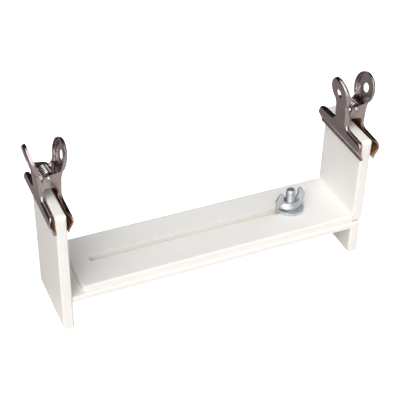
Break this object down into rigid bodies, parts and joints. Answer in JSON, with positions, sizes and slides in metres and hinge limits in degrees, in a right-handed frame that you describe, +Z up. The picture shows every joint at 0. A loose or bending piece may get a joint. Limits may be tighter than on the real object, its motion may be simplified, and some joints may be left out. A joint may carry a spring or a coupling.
{
  "type": "bead loom",
  "caption": "Adjustable bead loom: white plastic frame with a sliding carriage locked by a wing nut, and a sprung bulldog clip on each end board to hold the threads.",
  "frame": {"origin": "middle of the closed loom's length and depth, on the floor it stands on", "axes": "+X along the loom from the fixed end board to the carriage's upright, +Y from front to back, +Z up"},
  "size_m": [0.2186, 0.051, 0.1189],
  "materials": {
    "white_plastic": "satin white sheet plastic",
    "zinc_plate": "bright zinc plated steel",
    "dark_nickel": "nickel plated sheet steel",
    "pin_steel": "nickel plated steel",
    "spring_steel": "bright spring wire"
  },
  "bodies": {
    "root": {"end_board": "white_plastic", "base_plate": "white_plastic", "foot": "white_plastic", "clamp_bolt": "zinc_plate", "left_pivot_pin": "pin_steel", "left_spring": "spring_steel"},
    "swivel": {"washer": "zinc_plate"},
    "carriage": {"slide_plate": "white_plastic", "upright": "white_plastic", "right_pivot_pin": "pin_steel", "right_spring": "spring_steel"},
    "clamp_nut": {"wing_nut": "zinc_plate"},
    "left_outer_jaw": {"left_outer_jaw": "dark_nickel"},
    "left_inner_jaw": {"left_inner_jaw": "dark_nickel"},
    "right_outer_jaw": {"right_outer_jaw": "dark_nickel"},
    "right_inner_jaw": {"right_inner_jaw": "dark_nickel"}
  },
  "joints": [
    {"name": "carriage_swivel", "type": "hinge", "parent": "root", "child": "swivel", "pos_m": [0.0602, 0, 0.0285], "axis": [0, 0, 1], "range_deg": [-120, 120]},
    {"name": "carriage_slide", "type": "slide", "parent": "swivel", "child": "carriage", "axis": [1, 0, 0], "range_m": [0, 0.1329]},
    {"name": "wing_nut_turn", "type": "hinge", "parent": "root", "child": "clamp_nut", "pos_m": [0.0602, 0, 0.0303], "axis": [0, 0, 1], "range_deg": [0, 360]},
    {"name": "left_outer_jaw_opens", "type": "hinge", "parent": "root", "child": "left_outer_jaw", "pos_m": [-0.09775, 0, 0.099], "axis": [0, 1, 0], "range_deg": [0, 22], "stiffness_Nm_per_rad": 0.03, "springref_deg": -20.05, "deforming": ["left_spring"]},
    {"name": "left_inner_jaw_opens", "type": "hinge", "parent": "root", "child": "left_inner_jaw", "pos_m": [-0.09775, 0, 0.099], "axis": [0, -1, 0], "range_deg": [0, 22], "stiffness_Nm_per_rad": 0.03, "springref_deg": -20.05},
    {"name": "right_outer_jaw_opens", "type": "hinge", "parent": "carriage", "child": "right_outer_jaw", "pos_m": [0.0975, 0, 0.099], "axis": [0, -1, 0], "range_deg": [0, 22], "stiffness_Nm_per_rad": 0.03, "springref_deg": -20.05, "deforming": ["right_spring"]},
    {"name": "right_inner_jaw_opens", "type": "hinge", "parent": "carriage", "child": "right_inner_jaw", "pos_m": [0.0975, 0, 0.099], "axis": [0, 1, 0], "range_deg": [0, 22], "stiffness_Nm_per_rad": 0.03, "springref_deg": -20.05}
  ],
  "couplings": [
    {"joint": "left_inner_jaw_opens", "follows": "left_outer_jaw_opens", "ratio": 1},
    {"joint": "right_inner_jaw_opens", "follows": "right_outer_jaw_opens", "ratio": 1}
  ]
}
